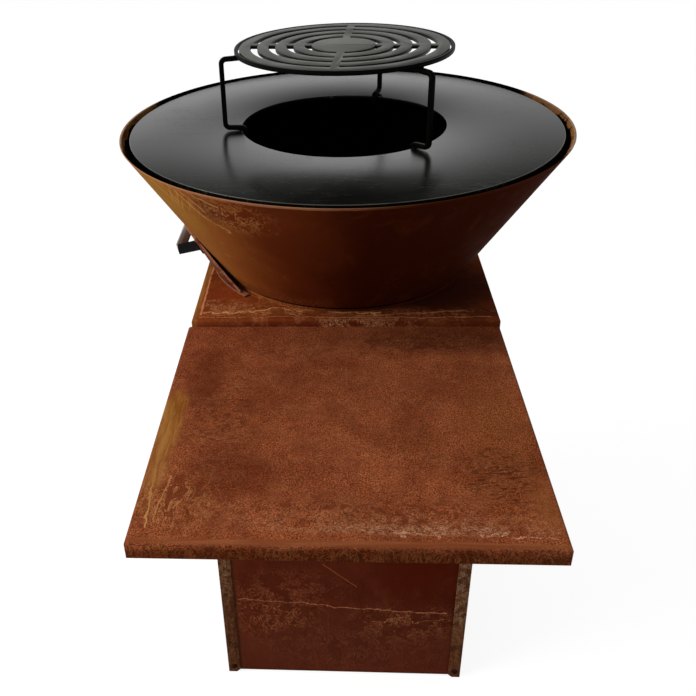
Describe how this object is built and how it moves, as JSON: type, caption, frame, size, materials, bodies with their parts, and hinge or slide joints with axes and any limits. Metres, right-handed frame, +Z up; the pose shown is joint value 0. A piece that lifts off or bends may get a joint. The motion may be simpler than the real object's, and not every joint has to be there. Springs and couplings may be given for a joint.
{
  "type": "fire pit grill",
  "caption": "Conical fire bowl with a flat ring griddle and a raised round grate, on a square sheet-steel pedestal with a folded side table and a lift-off bowl hatch.",
  "frame": {"origin": "on the floor, under the middle of the object's box; the bowl's axis stands 171 mm behind it", "axes": "+Z up, -Y towards the side table, +X to the right when facing the side table"},
  "size_m": [0.764, 1.1062, 1.271],
  "materials": {
    "rusted_table": "weathered steel, even matte rust with a pebbled skin",
    "rusted_tray": "weathered steel, matte rust with run marks",
    "rusted_bowl": "weathered steel, satin rust, ochre where it is newest",
    "rusted_panel": "weathered steel, dark red rust",
    "rusted_post": "weathered steel, dark rust with bright specks",
    "sooty_steel": "burnt bare steel, sooty",
    "seasoned_steel": "oiled and heat-blackened steel, satin",
    "black_bar": "heat-proof black, satin",
    "black_handle": "black, glossy",
    "blackened_bolt": "blackened steel"
  },
  "bodies": {
    "base": {"front_left_post": "rusted_post", "front_right_post": "rusted_post", "back_right_post": "rusted_post", "back_left_post": "rusted_post", "front_panel": "rusted_panel", "back_panel": "rusted_panel", "left_panel": "rusted_panel", "right_panel": "rusted_panel", "base_tray": "rusted_tray", "side_table": "rusted_table", "left_bracket": "rusted_post", "right_bracket": "rusted_post", "bowl_collar": "rusted_bowl", "bowl_floor": "sooty_steel", "bowl_shell": "rusted_bowl", "support_lug_1": "sooty_steel", "support_lug_2": "sooty_steel", "support_lug_3": "sooty_steel", "support_lug_4": "sooty_steel", "hatch_sill": "rusted_bowl", "front_panel_bolt_1": "blackened_bolt", "front_panel_bolt_2": "blackened_bolt", "back_panel_bolt_1": "blackened_bolt", "back_panel_bolt_2": "blackened_bolt", "back_panel_bolt_3": "blackened_bolt", "back_panel_bolt_4": "blackened_bolt", "bowl_bolt_1": "blackened_bolt", "bowl_bolt_2": "blackened_bolt", "bowl_bolt_3": "blackened_bolt", "bowl_bolt_4": "blackened_bolt", "left_bracket_bolt_1": "blackened_bolt", "left_bracket_bolt_2": "blackened_bolt", "right_bracket_bolt_1": "blackened_bolt", "right_bracket_bolt_2": "blackened_bolt", "left_table_stud_1": "blackened_bolt", "left_table_stud_2": "blackened_bolt", "right_table_stud_1": "blackened_bolt", "right_table_stud_2": "blackened_bolt"},
    "hatch": {"hatch_cover": "rusted_bowl", "hatch_handle": "black_handle", "front_handle_screw": "blackened_bolt", "back_handle_screw": "blackened_bolt"},
    "griddle": {"griddle_ring": "seasoned_steel"},
    "stand": {"stand_hoop": "black_bar", "left_stand_leg": "black_bar", "front_stand_leg": "black_bar", "back_stand_leg": "black_bar"},
    "grate": {"grate_disc": "seasoned_steel"}
  },
  "joints": [
    {"name": "hatch_lift", "type": "slide", "parent": "base", "child": "hatch", "axis": [-0.7507, 0, 0.6606], "range_m": [0, 0.15]},
    {"name": "griddle_lift", "type": "slide", "parent": "base", "child": "griddle", "axis": [0, 0, 1], "range_m": [0, 0.3]},
    {"name": "stand_lift", "type": "slide", "parent": "griddle", "child": "stand", "axis": [0, 0, 1], "range_m": [0, 0.2]},
    {"name": "grate_lift", "type": "slide", "parent": "stand", "child": "grate", "axis": [0, 0, 1], "range_m": [0, 0.15]}
  ]
}
